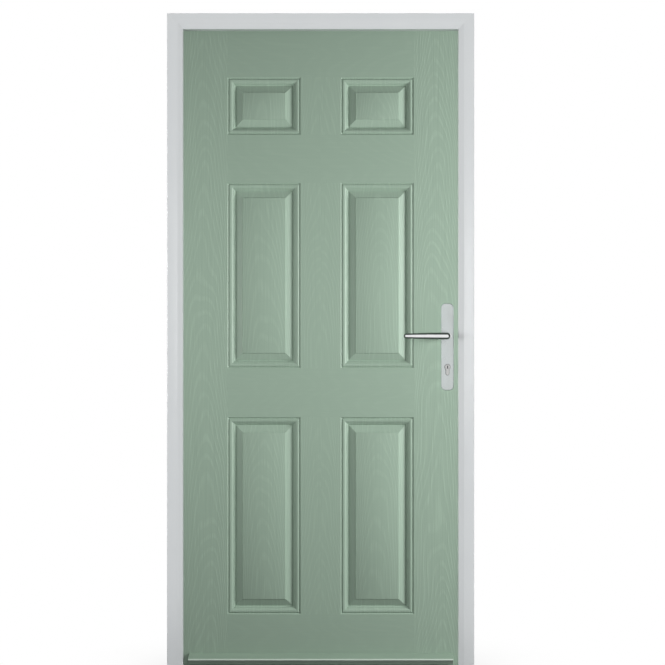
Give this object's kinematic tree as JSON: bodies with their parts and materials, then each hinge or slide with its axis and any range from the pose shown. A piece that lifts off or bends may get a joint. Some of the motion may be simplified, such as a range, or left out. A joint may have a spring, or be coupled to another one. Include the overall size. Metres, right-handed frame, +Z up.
{
  "type": "panelled front door with frame",
  "caption": "Moulded panelled entrance door hung in a mitred frame, with a low threshold, butt hinges, lever handles, a weather bar and a hook-bolt multipoint lock.",
  "frame": {"origin": "middle of the frame's width at the underside of the threshold, on the leaf's mid-plane", "axes": "+X to the right seen from outside, towards the lock; +Y into the room, the way the leaf opens; +Z up"},
  "size_m": [0.944, 0.153, 2.042],
  "materials": {
    "frame_white": "satin",
    "threshold_aluminium": "satin",
    "reinforcing_steel": "satin",
    "seal_rubber": "matte",
    "plate_steel": "satin",
    "screw_steel": "satin",
    "hinge_steel": "satin",
    "leaf_green": "satin",
    "core_foam": "matte",
    "edge_timber": "satin",
    "lock_steel": "satin",
    "cam_brass": "satin",
    "handle_chrome": "satin"
  },
  "bodies": {
    "frame": {"hinge_jamb": "frame_white", "lock_jamb": "frame_white", "frame_head": "frame_white", "threshold": "threshold_aluminium", "hinge_jamb_steel": "reinforcing_steel", "lock_jamb_steel": "reinforcing_steel", "head_steel": "reinforcing_steel", "frame_gasket": "seal_rubber", "threshold_gasket": "seal_rubber", "centre_keep": "plate_steel", "upper_hook_keep": "plate_steel", "lower_hook_keep": "plate_steel", "keep_screws": "screw_steel", "upper_hinge_frame_leaf": "hinge_steel", "middle_hinge_frame_leaf": "hinge_steel", "lower_hinge_frame_leaf": "hinge_steel", "upper_hinge_pin": "hinge_steel", "middle_hinge_pin": "hinge_steel", "lower_hinge_pin": "hinge_steel", "frame_hinge_screws": "screw_steel"},
    "leaf": {"outer_skin": "leaf_green", "inner_skin": "leaf_green", "foam_core": "core_foam", "hinge_stile": "edge_timber", "lock_stile": "edge_timber", "top_rail": "edge_timber", "bottom_rail": "edge_timber", "weather_bar": "leaf_green", "weather_bar_caps": "leaf_green", "bottom_sweep": "seal_rubber", "upper_hinge_door_leaf": "hinge_steel", "middle_hinge_door_leaf": "hinge_steel", "lower_hinge_door_leaf": "hinge_steel", "door_hinge_screws": "screw_steel", "lock_faceplate": "plate_steel", "faceplate_screws": "screw_steel", "gearbox_case": "lock_steel", "gearbox_cover": "lock_steel", "upper_hook_case": "lock_steel", "lower_hook_case": "lock_steel", "outer_backplate": "handle_chrome", "inner_backplate": "handle_chrome", "handle_bolts": "screw_steel", "cylinder_body": "handle_chrome", "cylinder_screw": "screw_steel"},
    "lift_cam": {"lift_cam": "cam_brass"},
    "lever_set": {"outer_lever": "handle_chrome", "inner_lever": "handle_chrome", "spindle": "lock_steel", "latch_follower": "cam_brass"},
    "latch": {"latch_bolt": "lock_steel"},
    "dead_bolt": {"dead_bolt": "lock_steel"},
    "upper_hook": {"upper_hook": "lock_steel"},
    "lower_hook": {"lower_hook": "lock_steel"},
    "drive_rail": {"drive_rail": "lock_steel"},
    "cylinder": {"key_plug": "cam_brass", "cylinder_cam": "lock_steel", "thumbturn": "handle_chrome"}
  },
  "joints": [
    {"name": "leaf_swing", "type": "hinge", "parent": "frame", "child": "leaf", "pos_m": [-0.434, 0.03, 0], "axis": [0, 0, 1], "range_deg": [0, 110]},
    {"name": "rail_slide", "type": "slide", "parent": "leaf", "child": "drive_rail", "axis": [0, 0, -1], "range_m": [0, 0.0155]},
    {"name": "lever_lift", "type": "hinge", "parent": "leaf", "child": "lift_cam", "pos_m": [0.392, 0, 1.05], "axis": [0, 1, 0], "range_deg": [0, 40.1]},
    {"name": "lever_press", "type": "hinge", "parent": "lift_cam", "child": "lever_set", "pos_m": [0.392, 0, 1.05], "axis": [0, -1, 0], "range_deg": [0, 40], "stiffness_Nm_per_rad": 1.5, "springref_deg": -57.3},
    {"name": "latch_slide", "type": "slide", "parent": "leaf", "child": "latch", "axis": [1, 0, 0], "range_m": [0, 0.012]},
    {"name": "upper_hook_swing", "type": "hinge", "parent": "leaf", "child": "upper_hook", "pos_m": [0.412, 0, 1.597], "axis": [0, -1, 0], "range_deg": [0, 90.2]},
    {"name": "lower_hook_swing", "type": "hinge", "parent": "leaf", "child": "lower_hook", "pos_m": [0.412, 0, 0.426], "axis": [0, -1, 0], "range_deg": [0, 90.2]},
    {"name": "bolt_slide", "type": "slide", "parent": "leaf", "child": "dead_bolt", "axis": [1, 0, 0], "range_m": [0, 0.02]},
    {"name": "cylinder_turn", "type": "hinge", "parent": "leaf", "child": "cylinder", "pos_m": [0.392, 0, 0.954], "axis": [0, -1, 0], "range_deg": [0, 360.5]}
  ],
  "couplings": [
    {"joint": "lever_lift", "follows": "rail_slide", "rad_per_m": 45.041},
    {"joint": "upper_hook_swing", "follows": "rail_slide", "rad_per_m": 101.34},
    {"joint": "lower_hook_swing", "follows": "rail_slide", "rad_per_m": 101.34},
    {"joint": "cylinder_turn", "follows": "bolt_slide", "rad_per_m": 314.16}
  ]
}
